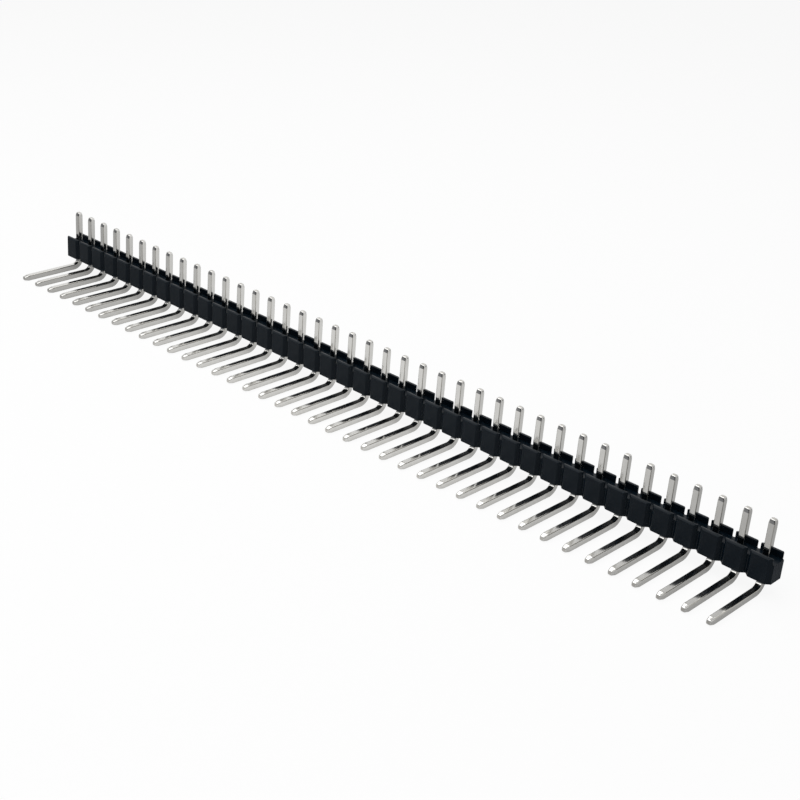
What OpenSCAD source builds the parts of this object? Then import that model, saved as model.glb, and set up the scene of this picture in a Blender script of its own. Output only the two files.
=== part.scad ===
// Right-angle break-away pin header, single row.
// One moulded insulator holds a row of identical square wire pins. Each pin has a short straight
// tail that stands up out of the insulator, and a long leg that is bent square below it.
// The strip stands on its legs. +X runs along the row, the legs point to -Y, +Z is up. The origin
// is on the surface that the legs lie on, under the middle of the whole part.

/* [Row] */

// Number of pins in the strip
pins = 40; // [2:1:40]
// Distance from one pin to the next
pitch = 2.54; // [2.2:0.02:3]

/* [Insulator] */

// Depth from the front flats to the rear flats
body_d = 2.4; // [2.2:0.05:2.8]
// Height from the underside to the top of the ridges
body_h = 2.5; // [2:0.05:3]
// Depth of the V notch where one section breaks from the next
notch_d = 0.38; // [0.25:0.01:0.5]
// Width of the flat at the root of each notch
notch_root = 0.08; // [0.04:0.01:0.2]
// Width of the channel between the two ridges
channel_w = 1.6; // [1.3:0.05:1.7]
// Depth of the channel below the top of the ridges
channel_d = 0.6; // [0.3:0.05:1]
// Width of the vent slot that parts the ridges at each break line
slot_w = 0.31; // [0.2:0.01:0.5]
// Bevel along the outer top edge of the ridges
ridge_bevel = 0.12; // [0.05:0.01:0.2]

/* [Wire] */

// Width of the square wire across its flats
wire_w = 0.64; // [0.55:0.01:0.7]
// Width taken off each long edge of the wire
wire_edge = 0.09; // [0.03:0.01:0.15]
// Radius on the inside of the bend
bend_inner_r = 0.7; // [0.3:0.05:0.75]

/* [Pin lengths] */

// Height of the tail above the ridges
tail_h = 3.2; // [2.5:0.1:6]
// Distance from the middle of the leg up to the underside of the insulator
stand_off = 1.25; // [1.15:0.05:2.5]
// Reach of the leg from the middle of the row to the leg's tip
leg_reach = 8.3; // [6:0.1:12]

/* [Pin ends] */

// Length of the coined point on the tail
tail_point_l = 0.2; // [0.15:0.01:0.5]
// Width that the tail tapers down to
tail_end_w = 0.52; // [0.3:0.01:0.52]
// Length of the taper on the leg
leg_point_l = 0.65; // [0.4:0.05:1.2]
// Width that the leg tapers down to
leg_end_w = 0.46; // [0.3:0.01:0.5]
// Small bevel round both end faces
nose_bevel = 0.08; // [0.04:0.01:0.1]

/* [Hidden] */

// Run past a face that a cut has to break through
past = 0.5;
// Length of the whole strip
strip_l = pins * pitch;
// Length of the flat on the side of each section
flat_l = pitch - notch_root - 2 * notch_d;
// Half the depth of the neck that joins two sections
neck_y = body_d / 2 - notch_d;
// Centre line of the bend
bend_r = bend_inner_r + wire_w / 2;
// Height of the middle of the legs, which lie on the origin's plane
leg_z = wire_w / 2;
// Place of the row of pins, with the origin under the middle of the part
row_y = (leg_reach - body_d / 2) / 2;
// Underside of the insulator, floor of its channel and top of its ridges
body_z = leg_z + stand_off;
floor_z = body_z + body_h - channel_d;
top_z = body_z + body_h;

plastic = "#1b2027";
plating = "#c9c9c4";

// Middle of section i, counted from 1 at the -X end
function section_x(i) = (i - (pins + 1) / 2) * pitch;
// pin_01, pin_02 and so on
function pin_name(i) = str("pin_", i < 10 ? "0" : "", i);

// ---- Insulator -------------------------------------------------------------------------------

// One long side of the strip seen from above: a flat for each section, with a V notch between
function side_points(y_out, y_neck) = [
    for (i = [1:pins], corner = [[-1, 1], [-1, 0], [1, 0], [1, 1]])
        [section_x(i) + corner[0] * (flat_l / 2 + corner[1] * notch_d), corner[1] == 1 ? y_neck : y_out]
];

function reversed(points) = [for (i = [len(points) - 1:-1:0]) points[i]];

// The strip seen from above, with its square pin holes
module strip_plan() {
    difference() {
        polygon(concat(
            [[-strip_l / 2, -neck_y]], side_points(-body_d / 2, -neck_y), [[strip_l / 2, -neck_y]],
            [[strip_l / 2, neck_y]], reversed(side_points(body_d / 2, neck_y)), [[-strip_l / 2, neck_y]]
        ));
        for (i = [1:pins])
            translate([section_x(i), 0]) wire_section();
    }
}

// The strip seen from its end: two ridges with a channel between, bevelled on their outer edges
module strip_profile() {
    half_d = body_d / 2;
    half_channel = channel_w / 2;
    floor_h = body_h - channel_d;
    polygon([
        [-half_d, 0], [half_d, 0],
        [half_d, body_h - ridge_bevel], [half_d - ridge_bevel, body_h],
        [half_channel, body_h], [half_channel, floor_h],
        [-half_channel, floor_h], [-half_channel, body_h],
        [ridge_bevel - half_d, body_h], [-half_d, body_h - ridge_bevel]
    ]);
}

// A gap through both ridges, down to the floor of the channel, over each break line
module vent_slots() {
    for (i = [0:pins])
        translate([(i - pins / 2) * pitch - slot_w / 2, -body_d / 2 - past, body_h - channel_d])
            cube([slot_w, body_d + 2 * past, channel_d + past]);
}

module insulator() {
    color(plastic)
        translate([0, row_y, body_z])
            difference() {
                intersection() {
                    linear_extrude(body_h) strip_plan();
                    translate([-strip_l / 2 - past, 0, 0])
                        rotate([90, 0, 90]) linear_extrude(strip_l + 2 * past) strip_profile();
                }
                vent_slots();
            }
}

// ---- Pins ------------------------------------------------------------------------------------

// Section of the drawn wire: a square with its corners taken off
module wire_section() {
    half_w = wire_w / 2;
    flat = half_w - wire_edge;
    polygon([
        [-flat, -half_w], [flat, -half_w], [half_w, -flat], [half_w, flat],
        [flat, half_w], [-flat, half_w], [-half_w, flat], [-half_w, -flat]
    ]);
}

// Slab that cuts two sides of a wire end to a taper, with a small bevel at the nose
module taper_slab(length, point_l, end_w) {
    half_w = wire_w / 2;
    half_end = end_w / 2;
    // the taper is carried on a little outside the wire, so that only its slopes meet the wire
    clear = wire_w / 20;
    slope = (half_w - half_end) / point_l;
    shoulder = length - point_l - clear / slope;
    // the nose bevel starts where the taper has come down to this
    half_nose = half_end + nose_bevel * slope;
    rotate([90, 0, 0])
        linear_extrude(wire_w + past, center = true)
            polygon([
                [-half_w - clear, -past], [half_w + clear, -past], [half_w + clear, shoulder],
                [half_nose, length - nose_bevel], [half_nose - nose_bevel, length],
                [nose_bevel - half_nose, length], [-half_nose, length - nose_bevel],
                [-half_w - clear, shoulder]
            ]);
}

// A straight run of wire that stands on its root and ends in a four-sided point
module pointed_wire(length, point_l, end_w) {
    intersection() {
        linear_extrude(length) wire_section();
        taper_slab(length, point_l, end_w);
        rotate([0, 0, 90]) taper_slab(length, point_l, end_w);
    }
}

// One wire, bent square between the tail and the leg
module pin() {
    bend_z = leg_z + bend_r;
    color(plating)
        translate([0, row_y, 0])
            union() {
                translate([0, 0, bend_z])
                    pointed_wire(top_z + tail_h - bend_z, tail_point_l, tail_end_w);
                translate([0, -bend_r, bend_z])
                    rotate([90, 0, 90]) rotate([0, 0, -90])
                        rotate_extrude(angle = 90, $fn = 64)
                            translate([bend_r, 0]) wire_section();
                translate([0, -bend_r, leg_z])
                    rotate([90, 0, 0])
                        pointed_wire(leg_reach - bend_r, leg_point_l, leg_end_w);
            }
}

insulator();
for (i = [1:pins])
    translate([section_x(i), 0, 0]) pin();
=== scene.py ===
# %% [markdown]
# # Dressing a right-angle pin header
#
# The solid model is already exact: one moulded insulator and a row of bent square pins. This script
# leaves its sizes alone and gives it its looks. It builds a finer insulator with softened mould edges
# and snapped ends, and finer pins with rounded wire edges and coined points. Then it gives each its
# finish, and stands the strip on a pale studio floor. Every step says what the real thing is and why
# it is made this way.

# %% Load the solid model
import math

import bmesh
import bpy
from mathutils import Matrix, Vector, noise


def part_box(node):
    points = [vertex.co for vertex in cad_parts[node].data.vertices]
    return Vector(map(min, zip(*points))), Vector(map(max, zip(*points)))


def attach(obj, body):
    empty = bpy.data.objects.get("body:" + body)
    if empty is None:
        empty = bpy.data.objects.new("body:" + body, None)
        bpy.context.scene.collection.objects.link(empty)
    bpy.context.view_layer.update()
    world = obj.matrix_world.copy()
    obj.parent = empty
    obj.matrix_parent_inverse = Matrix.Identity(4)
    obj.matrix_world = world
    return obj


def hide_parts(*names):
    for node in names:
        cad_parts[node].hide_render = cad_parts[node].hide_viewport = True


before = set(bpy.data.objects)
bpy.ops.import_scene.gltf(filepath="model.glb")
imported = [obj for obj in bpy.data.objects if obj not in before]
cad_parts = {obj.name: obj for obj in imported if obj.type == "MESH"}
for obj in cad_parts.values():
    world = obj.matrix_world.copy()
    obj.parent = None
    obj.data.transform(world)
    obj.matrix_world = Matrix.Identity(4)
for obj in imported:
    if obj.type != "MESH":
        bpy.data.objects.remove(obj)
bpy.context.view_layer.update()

# %% [markdown]
# ## Sizes
#
# Everything is modelled in millimetres and turned to metres at the very end, because a wire edge of
# 0.00009 m is hard to read and 0.09 mm isn't. Places come from the boxes of the solids, so each new
# piece lands where its solid is. The small sizes that a box can't tell, such as the depth of a notch,
# are named where they are first needed.

# %% Read the main sizes from the solids
MM = 0.001


def box_mm(node):
    """The lowest and highest corner of a solid, in millimetres."""
    low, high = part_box(node)
    return low / MM, high / MM


body_low, body_high = box_mm("insulator")
pin_nodes = sorted(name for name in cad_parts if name.startswith("pin_"))
pin_boxes = {name: box_mm(name) for name in pin_nodes}
pin_x = {name: (low.x + high.x) / 2 for name, (low, high) in pin_boxes.items()}
first_low, first_high = pin_boxes[pin_nodes[0]]

pitch = (pin_x[pin_nodes[-1]] - pin_x[pin_nodes[0]]) / (len(pin_nodes) - 1)
wire_w = first_high.x - first_low.x
body_d = body_high.y - body_low.y
body_h = body_high.z - body_low.z
row_y = (body_low.y + body_high.y) / 2
leg_z = first_low.z + wire_w / 2
print(f"{len(pin_nodes)} pins, pitch {pitch:.3f} mm, wire {wire_w:.3f} mm")
print(f"insulator {body_d:.2f} x {body_h:.2f} mm")

# %% [markdown]
# ## Small helpers
#
# Colours are written as the hex values that a colour picker shows, and one function turns them to the
# linear light that the renderer works in. One function starts a material with an empty node tree, and
# one adds a shader node with its settings and links. Where a link needs a node's first output, naming
# the node is enough. The last function turns a finished bmesh into an object at the origin, with its
# place in its mesh, because an object that is never moved can't drift from the solid that it dresses.

# %% Colours


def hex_colour(text):
    """An sRGB hex colour as linear red, green, blue and alpha."""
    channels = [int(text[i : i + 2], 16) / 255 for i in (1, 3, 5)]
    linear = [c / 12.92 if c <= 0.04045 else ((c + 0.055) / 1.055) ** 2.4 for c in channels]
    return (*linear, 1.0)


print("mid grey #808080 in linear light:", [round(c, 3) for c in hex_colour("#808080")[:3]])

# %% Materials and their nodes


def new_material(name):
    """A material whose node tree is empty."""
    material = bpy.data.materials.new(name)
    material.use_nodes = True
    material.node_tree.nodes.clear()
    return material


def add_node(tree, kind, inputs=None, **settings):
    """Add one shader node. An input takes a value, an output socket, or a node for its first output."""
    node = tree.nodes.new(kind)
    for name, value in settings.items():
        setattr(node, name, value)
    for name, value in (inputs or {}).items():
        if isinstance(value, bpy.types.Node):
            value = next(socket for socket in value.outputs if socket.enabled)
        if isinstance(value, bpy.types.NodeSocket):
            tree.links.new(value, node.inputs[name])
        else:
            node.inputs[name].default_value = value
    return node


print("materials so far:", len(bpy.data.materials))

# %% Finished pieces
crisp_angle = math.radians(32)


def finish_piece(bm, name, materials):
    """Turn a bmesh in millimetres into an object in metres that sits at the origin."""
    bmesh.ops.scale(bm, vec=(MM, MM, MM), verts=bm.verts)
    mesh = bpy.data.meshes.new(name)
    bm.to_mesh(mesh)
    bm.free()
    for material in materials:
        mesh.materials.append(material)
    mesh.shade_smooth()
    mesh.set_sharp_from_angle(angle=crisp_angle)
    piece = bpy.data.objects.new(name, mesh)
    bpy.context.scene.collection.objects.link(piece)
    # large flats keep their own direction, so that the shading turns only in the narrow rounds
    flats_first = piece.modifiers.new("flats_first", "WEIGHTED_NORMAL")
    flats_first.keep_sharp = True
    return piece


print("edges that turn more than", round(math.degrees(crisp_angle)), "degrees stay crisp")

# %% [markdown]
# ## The studio
#
# A strip of bright square wires shows its surroundings like a row of small mirrors, so the room
# matters as much as the metal. It is a plain white sweep: a white floor and a white surround, with a
# wide soft lamp hung close over the middle. So close a lamp makes a pool of light, and the wires at
# both ends of the strip look a little duller than those in the middle. The paper adds a painted pool
# to this: reflections find its tone painted duller away from the middle. The white of the background
# is in the floor and the surround themselves, for the camera and for reflections, and not in extra
# light. Two dark things shape the wires. In reflections the paper is painted grey a little way in
# front of the strip, a painted reflection of a darker table. The room behind the camera is unlit, as
# it is in any studio. The tips of the tails catch both.
#
# ### The floor
#
# The floor is matt white paper. A lamp strong enough to burn it white would bleach the metal too, so
# the paper gets most of its white as a glow that only the camera and the reflections see. The small
# part that is left to the lamps carries the strip's soft shadow.

# %% Tone of the paper
fibre_mm = 1.0
pool_inner = 10.0
pool_outer = 60.0
front_edge_y = -25.0
front_fade = 20.0

# matt paper scatters light evenly, so it takes a soft shadow and shows no reflection
paper = new_material("matt_white_paper")
tree = paper.node_tree
path = add_node(tree, "ShaderNodeLightPath").outputs
in_reflection = add_node(
    tree, "ShaderNodeMath", {0: path["Is Glossy Ray"], 1: path["Is Transmission Ray"]}, operation="MAXIMUM"
)
place = add_node(tree, "ShaderNodeTexCoord").outputs["Object"]
place_y = add_node(tree, "ShaderNodeSeparateXYZ", {"Vector": place}).outputs["Y"]
from_middle = add_node(tree, "ShaderNodeVectorMath", {0: place}, operation="LENGTH")
fibres = add_node(
    tree, "ShaderNodeTexNoise", {"Vector": place, "Scale": 1 / (fibre_mm * MM), "Detail": 3.0}
)
paper_tone_with_painted_dimming = add_node(
    tree, "ShaderNodeMix", {"Factor": fibres, "A": hex_colour("#f4f4f4"), "B": hex_colour("#fbfbfb")},
    data_type="RGBA",
)
# painted shade and painted reflection: reflections alone find the paper's tone dulled outside the
# lamp's pool, and greyed past a line in front of the strip as a darker table would show
for measure, start, end, tone in (
    (from_middle, pool_inner, pool_outer, "#bdbdbd"),
    (place_y, front_edge_y, front_edge_y - front_fade, "#8a8b8e"),
):
    reached = add_node(
        tree, "ShaderNodeMapRange", {"Value": measure, "From Min": start * MM, "From Max": end * MM},
        interpolation_type="SMOOTHSTEP",
    )
    # painted shade: how much of the dimming is painted in, for reflections only
    shown = add_node(tree, "ShaderNodeMath", {0: reached, 1: in_reflection}, operation="MULTIPLY")
    paper_tone_with_painted_dimming = add_node(
        tree, "ShaderNodeMix", {"Factor": shown, "A": paper_tone_with_painted_dimming, "B": hex_colour(tone)}, data_type="RGBA"
    )
print(paper.name, "- white to", pool_inner, "mm, dull from", pool_outer, "mm")

# %% Surface of the paper
camera_share = 0.9
mirror_share = 0.45

# the camera sees plain white, and reflections see the paper's tone with its painted shade
own_tone = add_node(
    tree, "ShaderNodeMix", {"Factor": in_reflection, "A": hex_colour("#ffffff"), "B": paper_tone_with_painted_dimming},
    data_type="RGBA",
)
paper_glow = add_node(tree, "ShaderNodeEmission", {"Color": own_tone, "Strength": 1.0})
to_camera = add_node(
    tree, "ShaderNodeMath", {0: path["Is Camera Ray"], 1: camera_share}, operation="MULTIPLY"
)
to_mirror = add_node(tree, "ShaderNodeMath", {0: in_reflection, 1: mirror_share}, operation="MULTIPLY")
own_white = add_node(tree, "ShaderNodeMath", {0: to_camera, 1: to_mirror}, operation="MAXIMUM")
paper_diffuse = add_node(tree, "ShaderNodeBsdfDiffuse", {"Color": paper_tone_with_painted_dimming})
paper_seen = add_node(tree, "ShaderNodeMixShader", {0: own_white, 1: paper_diffuse, 2: paper_glow})
# from below the camera looks through the paper, so that the underside of the strip can be seen
behind = add_node(tree, "ShaderNodeNewGeometry").outputs["Backfacing"]
from_below = add_node(tree, "ShaderNodeMath", {0: behind, 1: path["Is Camera Ray"]}, operation="MULTIPLY")
clear = add_node(tree, "ShaderNodeBsdfTransparent")
paper_surface = add_node(tree, "ShaderNodeMixShader", {0: from_below, 1: paper_seen, 2: clear})
add_node(tree, "ShaderNodeOutputMaterial", {"Surface": paper_surface})
print(paper.name, "has", len(tree.nodes), "nodes")

# %% Lay the floor
floor_gap = 0.01
floor_half = 900.0

bm = bmesh.new()
bmesh.ops.create_grid(bm, x_segments=1, y_segments=1, size=floor_half)
bmesh.ops.translate(bm, vec=(0, 0, first_low.z - floor_gap), verts=bm.verts)
floor = finish_piece(bm, "studio_floor", [paper])
print("floor at", round(first_low.z - floor_gap, 3), "mm")

# %% [markdown]
# ### The surround
#
# Round the floor stands a white sweep. It could be built as walls, but a world shader is simpler: each
# reflected ray carries its own direction, and the direction alone says what it meets. Straight ahead it
# meets white, higher up a greyer ceiling, and low on the camera's side the unlit end of the room, where
# the camera and its stand are darker still. Only an even, weak light from the surround reaches the
# object itself, so the dark end of the room changes reflections and nothing else.

# %% Surround
ambient_strength = 0.32
camera_way = (0.66, -0.75, 0.0)

world = bpy.data.worlds.new("white_surround")
bpy.context.scene.world = world
world.use_nodes = True
tree = world.node_tree
tree.nodes.clear()
path = add_node(tree, "ShaderNodeLightPath").outputs
way = add_node(tree, "ShaderNodeTexCoord").outputs["Generated"]
way_parts = add_node(tree, "ShaderNodeSeparateXYZ", {"Vector": way}).outputs
camera_near = add_node(tree, "ShaderNodeVectorMath", {0: way, 1: camera_way}, operation="DOT_PRODUCT")
# every part of the room fades in between two values of one measure
ceiling, front, low_down, at_camera = (
    add_node(
        tree, "ShaderNodeMapRange", {"Value": measure, "From Min": start, "From Max": end},
        interpolation_type="SMOOTHSTEP",
    )
    for measure, start, end in (
        (way_parts["Z"], 0.42, 0.56),
        (way_parts["Y"], -0.1, -0.5),
        (way_parts["Z"], 0.55, 0.25),
        (camera_near, 0.7, 0.9),
    )
)
unlit = add_node(tree, "ShaderNodeMath", {0: front, 1: low_down}, operation="MULTIPLY")
camera_stand = add_node(tree, "ShaderNodeMath", {0: unlit, 1: at_camera}, operation="MULTIPLY")
room = hex_colour("#ffffff")
for part, tone in ((ceiling, "#d2d2d2"), (unlit, "#6a6c70"), (camera_stand, "#2c2d30")):
    room = add_node(
        tree, "ShaderNodeMix", {"Factor": part, "A": room, "B": hex_colour(tone)}, data_type="RGBA"
    )
print("surround:", world.name)

# %% What sees the surround
# reflections see the room as it is, and the camera a plain white
room = add_node(
    tree, "ShaderNodeMix", {"Factor": path["Is Glossy Ray"], "A": hex_colour("#ffffff"), "B": room},
    data_type="RGBA",
)
room_seen = add_node(tree, "ShaderNodeBackground", {"Color": room, "Strength": 1.0})
ambient = add_node(
    tree, "ShaderNodeBackground", {"Color": hex_colour("#ffffff"), "Strength": ambient_strength}
)
in_reflection = add_node(
    tree, "ShaderNodeMath", {0: path["Is Glossy Ray"], 1: path["Is Transmission Ray"]}, operation="MAXIMUM"
)
seen = add_node(tree, "ShaderNodeMath", {0: path["Is Camera Ray"], 1: in_reflection}, operation="MAXIMUM")
surround = add_node(tree, "ShaderNodeMixShader", {0: seen, 1: ambient, 2: room_seen})
add_node(tree, "ShaderNodeOutputWorld", {"Surface": surround})
print("light from all round:", ambient_strength)

# %% [markdown]
# ### The lamps
#
# A lamp's size sets how soft its shadow is and how wide its mirror image. The wide one hangs so close
# that the strip throws almost no shadow, and its image draws a thin light line along the ridges. The
# narrow one behind adds very little light, but the rounded noses of the legs mirror it as a glint.

# %% Lamps


def hang_softbox(name, place, aim_at, width, depth, watts):
    """A rectangle of lit cloth over the strip, turned to face a point of it. Sizes are in mm."""
    lamp = bpy.data.lights.new(name, "AREA")
    lamp.shape = "RECTANGLE"
    lamp.size = width * MM
    lamp.size_y = depth * MM
    lamp.energy = watts
    softbox = bpy.data.objects.new(name, lamp)
    softbox.location = place * MM
    softbox.rotation_euler = (place - aim_at).to_track_quat("Z", "Y").to_euler()
    bpy.context.scene.collection.objects.link(softbox)
    print(name, [round(c) for c in place], "mm,", watts, "W")


hang_softbox(
    "overhead_softbox", place=Vector((-20, -45, 150)), aim_at=Vector((4, 0, 0)),
    width=260.0, depth=260.0, watts=0.28,
)
hang_softbox(
    "rim_softbox", place=Vector((-100, 103, 168)), aim_at=Vector((15, -4, 0)),
    width=150.0, depth=80.0, watts=0.046,
)

# %% [markdown]
# ## The camera
#
# The strip runs away from a camera that stands close to its right-hand end, looks down on it a little
# and is tipped a few degrees. The near sections come out nearly twice the size of the far ones. The
# camera is placed by angles and by its distance from a point near the middle of the strip.

# %% Camera
# distances in mm; the angles are taken from the front, from level and round the line of sight
aim = Vector((3.7, 6.3, 0.5))
distance = 160.0
azimuth = math.radians(41.30)
elevation = math.radians(24.94)
tip = math.radians(4.65)
lens_mm = 67.5

back = Vector((
    math.sin(azimuth) * math.cos(elevation),
    -math.cos(azimuth) * math.cos(elevation),
    math.sin(elevation),
))
right = Vector((math.cos(azimuth), math.sin(azimuth), 0))
turn = Matrix((right, back.cross(right), back)).transposed() @ Matrix.Rotation(tip, 3, "Z")

camera_data = bpy.data.cameras.new("camera")
camera_data.sensor_width = 36.0
camera_data.lens = lens_mm
camera_data.clip_start = 5 * MM
camera = bpy.data.objects.new("camera", camera_data)
camera.matrix_world = Matrix.Translation((aim + back * distance) * MM) @ turn.to_4x4()
bpy.context.scene.collection.objects.link(camera)
bpy.context.scene.camera = camera
print("camera at", [round(c / MM, 1) for c in camera.location], "mm")

# %% View
# the plain view transform shows colours as they are written
view_settings = bpy.context.scene.view_settings
view_settings.view_transform = "Standard"
print("view transform:", view_settings.view_transform)

# %% [markdown]
# ## Finish of the insulator
#
# The insulator is glass-filled polyester, injection moulded in a spark-eroded tool. The pigment is
# carbon black, which leaves a blue-black cast. The tool gives the faces a fine even grain that
# spreads the sheen, and the chopped glass just under the skin shows as tiny paler specks. The real
# grain is about 0.03 mm and the glass fibres are thinner than a hair. Both are drawn about twice as
# coarse, so that they show.

# %% Moulded polyester
grain_mm = 0.07
speck_mm = 0.16
flow_mm = 6.0

moulded = new_material("moulded_glass_filled_polyester")
tree = moulded.node_tree
place = add_node(tree, "ShaderNodeTexCoord").outputs["Object"]
# slow flow marks change the tone a little from one section to the next
flow = add_node(
    tree, "ShaderNodeTexNoise",
    {"Vector": place, "Scale": 1 / (flow_mm * MM), "Detail": 4.0, "Roughness": 0.6},
)
tone = add_node(
    tree, "ShaderNodeMix", {"Factor": flow, "A": hex_colour("#050f17"), "B": hex_colour("#08141d")},
    data_type="RGBA",
)
# the middle of each small cell is a speck of glass that the skin still half covers
speck_cells = add_node(tree, "ShaderNodeTexVoronoi", {"Vector": place, "Scale": 1 / (speck_mm * MM)})
specks = add_node(
    tree, "ShaderNodeMapRange", {"Value": speck_cells, "From Min": 0.16, "From Max": 0.06, "To Max": 0.6},
    interpolation_type="SMOOTHSTEP",
)
tone = add_node(
    tree, "ShaderNodeMix", {"Factor": specks, "A": tone, "B": hex_colour("#20272f")}, data_type="RGBA"
)
print(moulded.name, "flow", flow_mm, "mm, specks", speck_mm, "mm")

# %% Grain of the moulded skin
grain = add_node(
    tree, "ShaderNodeTexNoise", {"Vector": place, "Scale": 1 / (grain_mm * MM), "Detail": 3.0}
)
sheen_spread = add_node(
    tree, "ShaderNodeMapRange",
    {"Value": grain, "From Min": 0.3, "From Max": 0.7, "To Min": 0.28, "To Max": 0.38},
)
relief = add_node(tree, "ShaderNodeBump", {"Height": grain, "Strength": 0.35, "Distance": 0.006 * MM})
shader = add_node(
    tree, "ShaderNodeBsdfPrincipled",
    {
        "Base Color": tone, "Roughness": sheen_spread, "Normal": relief,
        "IOR": 1.5, "Specular IOR Level": 0.14,
    },
)
add_node(tree, "ShaderNodeOutputMaterial", {"Surface": shader})
print(moulded.name, "grain", grain_mm, "mm")

# %% [markdown]
# Strips are snapped to length by hand at a V notch. The break tears through the glass fibres, so the
# end of each strip is a small dull face, paler and rougher than the moulded skin round it. The coarse
# tears are in the mesh, which a later step makes, and the material adds the fine ones as relief.

# %% Snapped polyester
tear_mm = 0.12

snapped = new_material("snapped_glass_filled_polyester")
tree = snapped.node_tree
place = add_node(tree, "ShaderNodeTexCoord").outputs["Object"]
tear = add_node(
    tree, "ShaderNodeTexNoise",
    {"Vector": place, "Scale": 1 / (tear_mm * MM), "Detail": 6.0, "Roughness": 0.7},
)
tone = add_node(
    tree, "ShaderNodeMix", {"Factor": tear, "A": hex_colour("#12181e"), "B": hex_colour("#272e36")},
    data_type="RGBA",
)
relief = add_node(tree, "ShaderNodeBump", {"Height": tear, "Strength": 0.8, "Distance": 0.03 * MM})
shader = add_node(
    tree, "ShaderNodeBsdfPrincipled",
    {"Base Color": tone, "Roughness": 0.72, "Normal": relief, "IOR": 1.5, "Specular IOR Level": 0.25},
)
add_node(tree, "ShaderNodeOutputMaterial", {"Surface": shader})
print(snapped.name, "tear", tear_mm, "mm")

# %% [markdown]
# ## One section of the insulator
#
# All sections are alike, so one is made with care and repeated. It starts as a block as high as the
# floor of the channel. Bevelling the block's four upright edges gives the V notches, and a second,
# small bevel softens the corners beside them. The two ridges are drawn up out of the top face, where
# cuts have marked them out. This follows the shape the way the mould does, and leaves few faces.

# %% Sizes of one section
notch_d = 0.38
notch_root = 0.08
channel_d = 0.6
upright_round = 0.07
# what lies closer together than this is taken as one place
tiny = 0.001
# a face or an edge that has this share of its direction one way is taken to go straight that way
straight_on = 0.99

flat_l = pitch - notch_root - 2 * notch_d
floor_h = body_h - channel_d
print(f"flat {flat_l:.2f} mm, channel floor at {floor_h:.2f} mm")

# %% Bevel helpers


def bevel_edges(bm, edges, width, segments):
    """Bevel some edges to a round of the given width."""
    return bmesh.ops.bevel(
        bm, geom=edges, offset=width, offset_type="OFFSET", segments=segments, profile=0.5,
        affect="EDGES", clamp_overlap=True, material=-1,
    )


def is_upright(edge):
    """An edge that stands on end."""
    along = edge.verts[1].co - edge.verts[0].co
    return abs(along.z) > straight_on * along.length


print("corners beside the flats are rounded by", upright_round, "mm")

# %% Block, notches and necks
bm = bmesh.new()
bmesh.ops.create_cube(bm, size=1.0)
bmesh.ops.scale(bm, vec=(flat_l + 2 * notch_d, body_d, floor_h), verts=bm.verts)
bmesh.ops.translate(bm, vec=(0, 0, floor_h / 2), verts=bm.verts)
bevel_edges(bm, [edge for edge in bm.edges if is_upright(edge)], notch_d, 1)
beside_flats = [
    edge for edge in bm.edges
    if is_upright(edge) and abs(edge.verts[0].co.y) > body_d / 2 - tiny
]
bevel_edges(bm, beside_flats, upright_round, 3)
for side in (-1, 1):
    neck = [face for face in bm.faces if face.normal.x * side > straight_on]
    drawn = bmesh.ops.extrude_face_region(bm, geom=neck)["geom"]
    moved = [item for item in drawn if isinstance(item, bmesh.types.BMVert)]
    bmesh.ops.translate(bm, vec=(side * notch_root / 2, 0, 0), verts=moved)
    bmesh.ops.delete(bm, geom=neck, context="FACES_ONLY")
bm.normal_update()
print("block with notches:", len(bm.faces), "faces")

# %% [markdown]
# ### Ridges and their bevel
#
# The tops of the two ridges stand on the circuit board, and the channel and the slots between them let
# flux and steam out. Ridges could be four blocks set on top, but then they would only touch the body.
# Here their feet are scored into the top face and drawn up, so the flats run on into them unbroken, as
# they do in the moulding.

# %% Cut helpers


def flat_faces(bm, height, up):
    """The level faces at one height that face up (1) or down (-1)."""
    return [
        face for face in bm.faces
        if face.normal.z * up > straight_on and abs(face.calc_center_median().z - height) < tiny
    ]


def score(bm, faces_now, point, normal):
    """Score some faces along a plane, without cutting the faces round them."""
    faces = faces_now()
    edges = {edge for face in faces for edge in face.edges}
    verts = {vert for face in faces for vert in face.verts}
    bmesh.ops.bisect_plane(
        bm, geom=[*faces, *edges, *verts], dist=tiny / 10, plane_co=point, plane_no=normal
    )
    bm.normal_update()


print("top faces of the block:", len(flat_faces(bm, floor_h, 1)))

# %% Ridges
channel_w = 1.6
slot_w = 0.31
# faces that turn less than this into each other are one flat
flat_angle = math.radians(1)

ridge_end = (pitch - slot_w) / 2
bmesh.ops.dissolve_limit(bm, angle_limit=flat_angle, verts=bm.verts, edges=bm.edges)
for side in (-1, 1):
    score(bm, lambda: flat_faces(bm, floor_h, 1), (side * ridge_end, 0, 0), (1, 0, 0))
    score(bm, lambda: flat_faces(bm, floor_h, 1), (0, side * channel_w / 2, 0), (0, 1, 0))
ridge_feet = [
    face for face in flat_faces(bm, floor_h, 1)
    if abs(face.calc_center_median().y) > channel_w / 2 and abs(face.calc_center_median().x) < ridge_end
]
drawn = bmesh.ops.extrude_face_region(bm, geom=ridge_feet)["geom"]
moved = [item for item in drawn if isinstance(item, bmesh.types.BMVert)]
bmesh.ops.translate(bm, vec=(0, 0, channel_d), verts=moved)
bmesh.ops.delete(bm, geom=ridge_feet, context="FACES_ONLY")
bmesh.ops.dissolve_limit(bm, angle_limit=flat_angle, verts=bm.verts, edges=bm.edges)
bm.normal_update()
print("with ridges:", len(bm.faces), "faces,", len(ridge_feet), "ridges")

# %% Bevel on the outside of the ridges
ridge_bevel = 0.12

# a sloping cut takes the corner off and leaves the notch faces as they are
for side in (-1, 1):
    bmesh.ops.bisect_plane(
        bm, geom=[*bm.faces, *bm.edges, *bm.verts], dist=tiny / 10,
        plane_co=(0, side * (body_d / 2 - ridge_bevel), body_h), plane_no=(0, side, 1), clear_outer=True,
    )
    open_edges = [edge for edge in bm.edges if edge.is_boundary]
    bmesh.ops.holes_fill(bm, edges=open_edges, sides=0)
bm.normal_update()
print("with bevelled ridges:", len(bm.faces), "faces")

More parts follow.
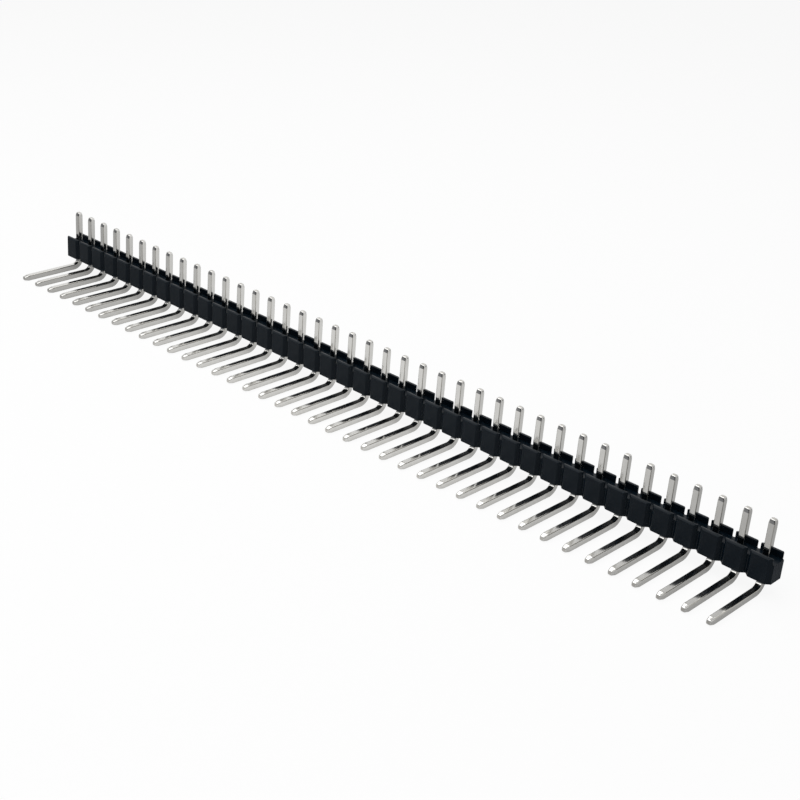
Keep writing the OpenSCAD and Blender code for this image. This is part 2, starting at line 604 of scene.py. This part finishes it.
# %% [markdown]
# ### Mould edges and pin hole
#
# No mould makes a perfectly sharp edge, and it is the soft edge that catches the light. So every outer
# edge gets a small round, but not the rims where one section joins the next, which have to meet
# exactly. The hole comes last: two square patches are marked out, taken away and bridged, which gives
# four clean walls and leaves the rounds alone.

# %% Soften the mould edges
edge_round = 0.03
# the shallow turns of the rounds that are already there are left alone
soften_from = math.radians(30)
end_x = pitch / 2


def is_mould_edge(edge):
    """A sharp outer edge that isn't where two sections join."""
    at_joint = all(abs(vert.co.x) > end_x - tiny for vert in edge.verts)
    return not at_joint and edge.is_manifold and edge.calc_face_angle_signed() > soften_from


bevel_edges(bm, [edge for edge in bm.edges if is_mould_edge(edge)], edge_round, 2)
bm.normal_update()
print("with softened edges:", len(bm.faces), "faces")

# %% Pin hole
hole_half = wire_w / 2


def is_hole_patch(face):
    """A square of the wire's width on the section's axis."""
    centre = face.calc_center_median()
    on_axis = abs(centre.x) < tiny and abs(centre.y) < tiny
    return on_axis and math.isclose(face.calc_area(), wire_w**2, rel_tol=0.01)


for height, up in ((floor_h, 1), (0.0, -1)):
    for side in (-1, 1):
        score(bm, lambda: flat_faces(bm, height, up), (side * hole_half, 0, 0), (1, 0, 0))
        score(bm, lambda: flat_faces(bm, height, up), (0, side * hole_half, 0), (0, 1, 0))
patches = [
    face for face in flat_faces(bm, floor_h, 1) + flat_faces(bm, 0.0, -1) if is_hole_patch(face)
]
rims = {edge for face in patches for edge in face.edges}
bmesh.ops.delete(bm, geom=patches, context="FACES_ONLY")
bmesh.ops.bridge_loops(bm, edges=list(rims))
bm.normal_update()
print("hole patches:", len(patches), "- section now has", len(bm.faces), "faces")

# %% [markdown]
# ## The whole strip
#
# The two end faces of the section are opened, copies are set out at the pitch, and the touching rims
# are merged, so the strip is one closed shell as the moulding is one piece. Only the first and the
# last neck are closed again, with a torn surface.

# %% Repeat the section along the row
joint_faces = [face for face in bm.faces if abs(face.calc_center_median().x) > end_x - tiny]
bmesh.ops.delete(bm, geom=joint_faces, context="FACES_ONLY")
one_section = [*bm.verts, *bm.edges, *bm.faces]
for count in range(1, len(pin_nodes)):
    copied = bmesh.ops.duplicate(bm, geom=one_section)["geom"]
    moved = [item for item in copied if isinstance(item, bmesh.types.BMVert)]
    bmesh.ops.translate(bm, vec=(count * pitch, 0, 0), verts=moved)
bmesh.ops.remove_doubles(bm, verts=bm.verts, dist=tiny)
bmesh.ops.translate(bm, vec=(pin_x[pin_nodes[0]], row_y, body_low.z), verts=bm.verts)
print("strip:", len(bm.faces), "faces, open rims:", sum(edge.is_boundary for edge in bm.edges))

# %% [markdown]
# ### Snapped ends
#
# A snapped neck is rough, with pits a few hundredths of a millimetre deep. The flat cap is scored into
# small squares, and their corners are pushed in by a noise. The rim stays where it is, so the face
# still meets the moulded walls. The corners only move inwards, because the strip may not grow longer.

# %% Caps and their pits
tear_depth = 0.05
tear_step = 0.12
tears_per_mm = 4.0
tear_gain = 1.6
noise_fall = 0.9
noise_gap = 2.2
noise_octaves = 3

neck_d = body_d - 2 * notch_d
cuts_z = int(floor_h / tear_step)
cuts_y = int(neck_d / tear_step)


def torn_faces(side):
    """The faces that cap one snapped end."""
    return [
        face for face in bm.faces if face.material_index == 1 and face.normal.x * side > straight_on
    ]


def pit_depth(place):
    """How deep the break is torn at one place of a cap."""
    pit = abs(noise.fractal(place * tears_per_mm, noise_fall, noise_gap, noise_octaves))
    return tear_depth * min(1, pit * tear_gain)


print("squares in a cap:", cuts_y, "x", cuts_z)

# %% Close and tear the two snapped ends
for side in (-1, 1):
    wall = side * -body_low.x
    rim = [edge for edge in bm.edges if edge.is_boundary and edge.verts[0].co.x * side > 0]
    made = bmesh.ops.holes_fill(bm, edges=rim, sides=0)["faces"]
    for face in made:
        face.material_index = 1
    bm.normal_update()
    for cut in range(1, cuts_z):
        score(bm, lambda: torn_faces(side), (0, 0, body_low.z + cut * floor_h / cuts_z), (0, 0, 1))
    for cut in range(1, cuts_y):
        across = (cut / cuts_y - 0.5) * neck_d
        score(bm, lambda: torn_faces(side), (0, row_y + across, 0), (0, 1, 0))
    inner = {
        vert for face in torn_faces(side) for vert in face.verts
        if all(near.material_index == 1 for near in vert.link_faces)
    }
    for vert in inner:
        vert.co.x = wall - side * pit_depth(vert.co)
print("torn ends:", sum(face.material_index == 1 for face in bm.faces), "faces")

# %% Make the insulator piece
bmesh.ops.recalc_face_normals(bm, faces=bm.faces)
print("insulator volume", round(bm.calc_volume(), 1), "mm3, loose edges:",
      sum(not edge.is_manifold for edge in bm.edges))
insulator = finish_piece(bm, "moulded_insulator_strip", [moulded, snapped])
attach(insulator, "root")
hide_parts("insulator")

# %% [markdown]
# ## Finish of the pins
#
# The pins are cut from brass wire, drawn square through a die and plated with nickel under tin. The
# die leaves fine lines along the wire, and the plating keeps them: they stretch the reflections
# sideways. Along the wire's corners the tone is painted a little darker and warmer. This is a painted
# reflection of the darker room that the rounded corners turn to. The lines have to follow the wire
# round its bend, so each pin carries an attribute that says where each point was while the wire was
# still straight, and the pattern reads that.

# %% Plated drawn wire
line_mm = 0.035
line_length_mm = 4.0
blotch_mm = 0.9
# shares of the wire's width, from its middle, between which the painted dark line of a corner starts
corner_from = 0.37
corner_full = 0.47

plated = new_material("tin_plated_drawn_brass")
tree = plated.node_tree
place = add_node(tree, "ShaderNodeTexCoord").outputs["Object"]
# slow blotches, because no plating bath coats quite evenly
blotches = add_node(
    tree, "ShaderNodeTexNoise", {"Vector": place, "Scale": 1 / (blotch_mm * MM), "Detail": 3.0}
)
tone = add_node(
    tree, "ShaderNodeMix", {"Factor": blotches, "A": hex_colour("#cdccc8"), "B": hex_colour("#dad9d6")},
    data_type="RGBA",
)
# near a corner both offsets from the wire's middle are large, so the smaller one tells the distance
straight = add_node(tree, "ShaderNodeAttribute", attribute_name="straight").outputs["Vector"]
offsets = add_node(tree, "ShaderNodeVectorMath", {0: straight}, operation="ABSOLUTE")
parts = add_node(tree, "ShaderNodeSeparateXYZ", {"Vector": offsets}).outputs
smaller = add_node(tree, "ShaderNodeMath", {0: parts["X"], 1: parts["Y"]}, operation="MINIMUM")
# painted reflection: a darker, warmer line along each rounded corner of the wire
corner = add_node(
    tree, "ShaderNodeMapRange",
    {"Value": smaller, "From Min": wire_w * corner_from, "From Max": wire_w * corner_full, "To Max": 0.8},
    interpolation_type="SMOOTHSTEP",
)
tone = add_node(
    tree, "ShaderNodeMix", {"Factor": corner, "A": tone, "B": hex_colour("#a29e94")}, data_type="RGBA"
)
print(plated.name, "blotches", blotch_mm, "mm")

# %% Drawing lines along the wire
along_wire = add_node(
    tree, "ShaderNodeVectorMath", {0: straight, 1: (1 / line_mm, 1 / line_mm, 1 / line_length_mm)},
    operation="MULTIPLY",
)
lines = add_node(tree, "ShaderNodeTexNoise", {"Vector": along_wire, "Scale": 1.0, "Detail": 2.0})
spread = add_node(
    tree, "ShaderNodeMapRange",
    {"Value": lines, "From Min": 0.3, "From Max": 0.7, "To Min": 0.08, "To Max": 0.12},
)
relief = add_node(tree, "ShaderNodeBump", {"Height": lines, "Strength": 0.03, "Distance": 0.002 * MM})
shader = add_node(
    tree, "ShaderNodeBsdfPrincipled",
    {"Base Color": tone, "Metallic": 1.0, "Roughness": spread, "Normal": relief},
)
add_node(tree, "ShaderNodeOutputMaterial", {"Surface": shader})
print(plated.name, "lines", line_mm, "mm apart")

# %% [markdown]
# The wire is plated on the reel, before it is cut, so the very ends are sheared metal. They spread the
# light more than the plating does, and have shear marks and a little of the brass's warmth.

# %% Sheared wire end
shear_mm = 0.05

sheared = new_material("sheared_brass_end")
tree = sheared.node_tree
place = add_node(tree, "ShaderNodeTexCoord").outputs["Object"]
marks = add_node(
    tree, "ShaderNodeTexNoise", {"Vector": place, "Scale": 1 / (shear_mm * MM), "Detail": 3.0}
)
tone = add_node(
    tree, "ShaderNodeMix", {"Factor": marks, "A": hex_colour("#bab8b2"), "B": hex_colour("#cfccc7")},
    data_type="RGBA",
)
relief = add_node(tree, "ShaderNodeBump", {"Height": marks, "Strength": 0.5, "Distance": 0.01 * MM})
shader = add_node(
    tree, "ShaderNodeBsdfPrincipled",
    {"Base Color": tone, "Metallic": 1.0, "Roughness": 0.3, "Normal": relief},
)
add_node(tree, "ShaderNodeOutputMaterial", {"Surface": shader})
print(sheared.name, "marks", shear_mm, "mm")

# %% [markdown]
# ## One pin
#
# A pin is one wire, so it is made as one tube: a rounded square ring is drawn straight for the tail,
# spun through a quarter turn for the bend, and drawn on for the leg. A few narrower rings at each end
# make the coined points. A coining tool closes on the wire from two directions, one after the other, so
# the bevel over a pin's sides and the bevel over its faces have their own lengths. It presses the very
# edge over to a small round. The ends are then capped, and the tube is a closed solid. A curve with a
# bevel would bend as well, but its two ends couldn't be given such points.

# %% Sizes of one pin
wire_edge = 0.09
bend_inner_r = 0.7
# for each point: the bevels' length and the width they leave, and the round of the very edge
tail_point = {"sides": (0.2, 0.54), "faces": (0.4, 0.48), "nose": 0.06}
leg_point = {"sides": (0.7, 0.48), "faces": (0.5, 0.44), "nose": 0.08}

bend_r = bend_inner_r + wire_w / 2
bend_z = leg_z + bend_r
tail_tip = first_high.z
leg_tip = first_low.y - row_y
print(f"bend radius {bend_r:.2f} mm, tail to {tail_tip:.2f} mm, leg to {leg_tip:.2f} mm")

# %% Ring of the wire
corner_segments = 4


def wire_ring(bm):
    """A square ring of edges with rounded corners, level, as wide as the wire."""
    # a circle of four corners is a square that stands on a corner, so it is turned
    made = bmesh.ops.create_circle(bm, segments=4, radius=wire_w / math.sqrt(2), cap_ends=True)["verts"]
    bmesh.ops.rotate(bm, cent=(0, 0, 0), matrix=Matrix.Rotation(math.radians(45), 3, "Z"), verts=made)
    bmesh.ops.bevel(
        bm, geom=list(bm.verts), offset=wire_edge, offset_type="OFFSET", segments=corner_segments,
        profile=0.5, affect="VERTICES", clamp_overlap=True, material=-1,
    )
    bmesh.ops.delete(bm, geom=list(bm.faces), context="FACES_ONLY")
    return list(bm.edges)


print("ring", round(wire_w, 2), "mm wide, corners rounded by", wire_edge, "mm")

# %% [markdown]
# ### Coined points
#
# Near a tip the wire has three measures: its width over the sides, its width over the faces, and the
# round of its corners. One function says what they are at any distance from the tip. Another draws the
# ring on by a step and gives it the new measures, and a third sets the steps: one ring at each side of
# every place where the outline turns, and a few round the nose.

# %% Section near a tip
# the corners' round grows to this share of the width at the tip
tip_corner = 0.32


def section_at(to_tip, point):
    """Width over the sides, width over the faces and corner round at a distance from the tip."""
    # the nose is a quarter round, so it takes off more and more on its way to the tip
    nose = point["nose"]
    into_nose = max(0.0, nose - to_tip)
    off_nose = 2 * (nose - math.sqrt(nose**2 - into_nose**2))
    widths = [
        min(wire_w, end_w + (wire_w - end_w) * to_tip / point_l) - off_nose
        for point_l, end_w in (point["sides"], point["faces"])
    ]
    faces_l = point["faces"][0]
    blunted = max(0.0, 1 - to_tip / faces_l)
    share = wire_edge / wire_w * (1 - blunted) + tip_corner * blunted
    return *widths, share * min(widths)


print("end face of a tail:", [round(size, 2) for size in section_at(0.0, tail_point)[:2]], "mm")
print("end face of a leg:", [round(size, 2) for size in section_at(0.0, leg_point)[:2]], "mm")

# %% Draw the wire on


def draw_ring(bm, ring, step, old, new):
    """Draw the ring on by a step, and take its two widths and its corners from old to new."""
    made = bmesh.ops.extrude_edge_only(bm, edges=ring)["geom"]
    verts = [item for item in made if isinstance(item, bmesh.types.BMVert)]
    middle = sum((vert.co for vert in verts), Vector()) / len(verts)
    for vert in verts:
        offset = vert.co - middle
        # the first width is over x, and the second over y on the tail and over z on the leg
        for axis, width in ((0, 0), (1, 1), (2, 1)):
            if abs(offset[axis]) > tiny:
                round_share = (abs(offset[axis]) - old[width] / 2) / old[2]
                offset[axis] = math.copysign(new[width] / 2 + round_share * new[2], offset[axis])
        vert.co = middle + offset + step
    return [item for item in made if isinstance(item, bmesh.types.BMEdge)]


print("each step of the wire adds", 4 * (corner_segments + 1), "faces")

# %% Draw a run of wire and its point
# rings this close to both sides of a bevel's start keep the turn crisp
support = 0.02
# degrees round the nose at which it has a ring
nose_angles = (30, 60, 90)


def draw_point(bm, ring, way, run, point):
    """Draw a straight run of wire and the coined point at its end, and cap it."""
    turns = (point["sides"][0], point["faces"][0], point["nose"])
    places = {turn + offset for turn in turns for offset in (-support, 0.0, support)}
    places |= {point["nose"] * (1 - math.sin(math.radians(angle))) for angle in nose_angles}
    here = run
    section = (wire_w, wire_w, wire_edge)
    for to_tip in sorted(places, reverse=True):
        new_section = section_at(to_tip, point)
        ring = draw_ring(bm, ring, way * (here - to_tip), section, new_section)
        here = to_tip
        section = new_section
    cap = bmesh.ops.contextual_create(bm, geom=ring)["faces"]
    for face in cap:
        face.material_index = 1


print("rings round each nose:", len(nose_angles))

# %% [markdown]
# ### Straight places for the drawing lines
#
# The lines of the die run along the wire and turn with it. So every point of a pin is told where it was
# before the bend: its two offsets from the wire's middle, and its distance along the wire. On the bend
# that distance is taken along the middle of the wire, so the lines go round it without a break.

# %% Where a point was on the straight wire


def before_bending(point):
    """Offsets from the wire's middle, and the distance along it, for a point on the bent wire."""
    if point.z >= bend_z:
        return Vector((point.x, point.y, point.z - bend_z))
    if point.y <= -bend_r:
        return Vector((point.x, leg_z - point.z, point.y + bend_r - bend_r * math.pi / 2))
    reach_y = point.y + bend_r
    drop_z = bend_z - point.z
    return Vector((point.x, math.hypot(reach_y, drop_z) - bend_r, -bend_r * math.atan2(drop_z, reach_y)))


print("middle of the bend is", round(bend_r * math.pi / 2, 2), "mm long")

# %% [markdown]
# ### The row of pins
#
# All pins are alike, and one mesh shown at many places would be enough for a picture. But each pin is a
# piece of its own, with its own name and its place in its mesh, so each is drawn anew where it stands.

# %% Make every pin
bend_steps = 18


def make_pin(node):
    """The pin that stands for one solid, in its place in the row."""
    bm = bmesh.new()
    root = wire_ring(bm)
    root_verts = list(bm.verts)
    bmesh.ops.translate(bm, vec=(0, 0, bend_z), verts=root_verts)
    draw_point(bm, root, Vector((0, 0, 1)), tail_tip - bend_z, tail_point)
    spun = bmesh.ops.spin(
        bm, geom=[*root_verts, *root], cent=(0, -bend_r, bend_z), axis=(1, 0, 0),
        angle=-math.pi / 2, steps=bend_steps, use_duplicate=False,
    )["geom_last"]
    leg_root = [item for item in spun if isinstance(item, bmesh.types.BMEdge)]
    draw_point(bm, leg_root, Vector((0, -1, 0)), -leg_tip - bend_r, leg_point)
    bmesh.ops.remove_doubles(bm, verts=bm.verts, dist=tiny / 100)
    bmesh.ops.recalc_face_normals(bm, faces=bm.faces)
    open_edges = sum(not edge.is_manifold for edge in bm.edges)
    straight_at = bm.verts.layers.float_vector.new("straight")
    for vert in bm.verts:
        vert[straight_at] = before_bending(vert.co)
    bmesh.ops.translate(bm, vec=(pin_x[node], row_y, 0), verts=bm.verts)
    faces = len(bm.faces)
    pin = finish_piece(bm, "wire_" + node, [plated, sheared])
    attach(pin, "root")
    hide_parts(node)
    return faces, open_edges


made = [make_pin(node) for node in pin_nodes]
print(len(made), "pins of", made[0][0], "faces, open edges:", sum(count for _, count in made))
